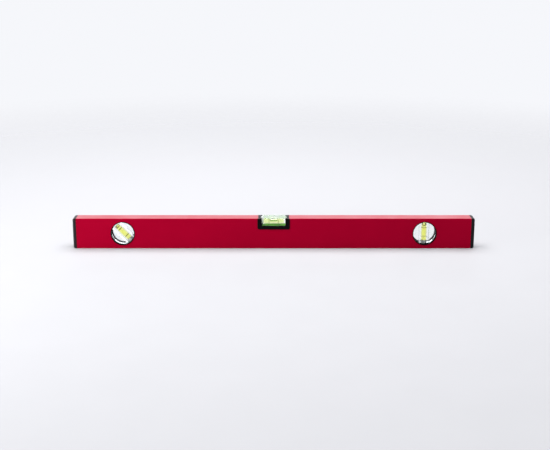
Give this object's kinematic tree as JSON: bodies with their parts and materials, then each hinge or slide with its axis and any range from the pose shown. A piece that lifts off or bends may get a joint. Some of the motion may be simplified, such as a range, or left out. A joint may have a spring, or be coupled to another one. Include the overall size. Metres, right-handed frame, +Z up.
{
  "type": "spirit level",
  "caption": "Box-section spirit level with a horizontal vial let into its top edge, a 45 degree vial and a plumb vial in round windows, and black end caps.",
  "frame": {"origin": "middle of the bottom measuring face: the bounding box's bottom centre", "axes": "+X along the level from the 45 degree vial to the plumb vial, +Y from the front face through to the rear face, +Z up from the bottom measuring face to the top one"},
  "size_m": [0.6, 0.023, 0.046],
  "materials": {
    "red_paint": "satin",
    "black_plastic": "satin",
    "clear_acrylic": "polished",
    "vial_liquid": "polished",
    "bubble_air": "polished",
    "vial_plug": "satin",
    "line_ink": "matte"
  },
  "bodies": {
    "level_body": {"body_profile": "red_paint", "end_cap_left": "black_plastic", "end_cap_right": "black_plastic", "centre_vial_holder": "black_plastic", "centre_vial_block": "clear_acrylic", "centre_vial_liquid": "vial_liquid", "centre_vial_plug": "vial_plug", "centre_vial_line_left": "line_ink", "centre_vial_line_right": "line_ink", "angle_bezel_front": "black_plastic", "angle_bezel_rear": "black_plastic", "angle_lens_front": "clear_acrylic", "angle_lens_rear": "clear_acrylic", "angle_vial_block": "clear_acrylic", "angle_vial_liquid": "vial_liquid", "angle_vial_plug": "vial_plug", "angle_vial_line_upper": "line_ink", "angle_vial_line_lower": "line_ink", "plumb_bezel_front": "black_plastic", "plumb_bezel_rear": "black_plastic", "plumb_lens_front": "clear_acrylic", "plumb_lens_rear": "clear_acrylic", "plumb_vial_block": "clear_acrylic", "plumb_vial_liquid": "vial_liquid", "plumb_vial_plug": "vial_plug", "plumb_vial_line_upper": "line_ink", "plumb_vial_line_lower": "line_ink"},
    "centre_bubble": {"centre_vial_bubble": "bubble_air"},
    "angle_bubble": {"angle_vial_bubble": "bubble_air"},
    "plumb_bubble": {"plumb_vial_bubble": "bubble_air"}
  },
  "joints": [
    {"name": "centre_bubble_travel", "type": "slide", "parent": "level_body", "child": "centre_bubble", "axis": [1, 0, 0], "range_m": [-0.0089, 0.0089], "stiffness_N_per_m": 0.1, "deforming": ["centre_vial_liquid"]},
    {"name": "angle_bubble_travel", "type": "slide", "parent": "level_body", "child": "angle_bubble", "axis": [0.7071, 0, -0.7071], "range_m": [0, 0.0222], "stiffness_N_per_m": 0.1, "springref_m": -0.02, "deforming": ["angle_vial_liquid"]},
    {"name": "plumb_bubble_travel", "type": "slide", "parent": "level_body", "child": "plumb_bubble", "axis": [0, 0, -1], "range_m": [0, 0.0222], "stiffness_N_per_m": 0.1, "springref_m": -0.02, "deforming": ["plumb_vial_liquid"]}
  ]
}
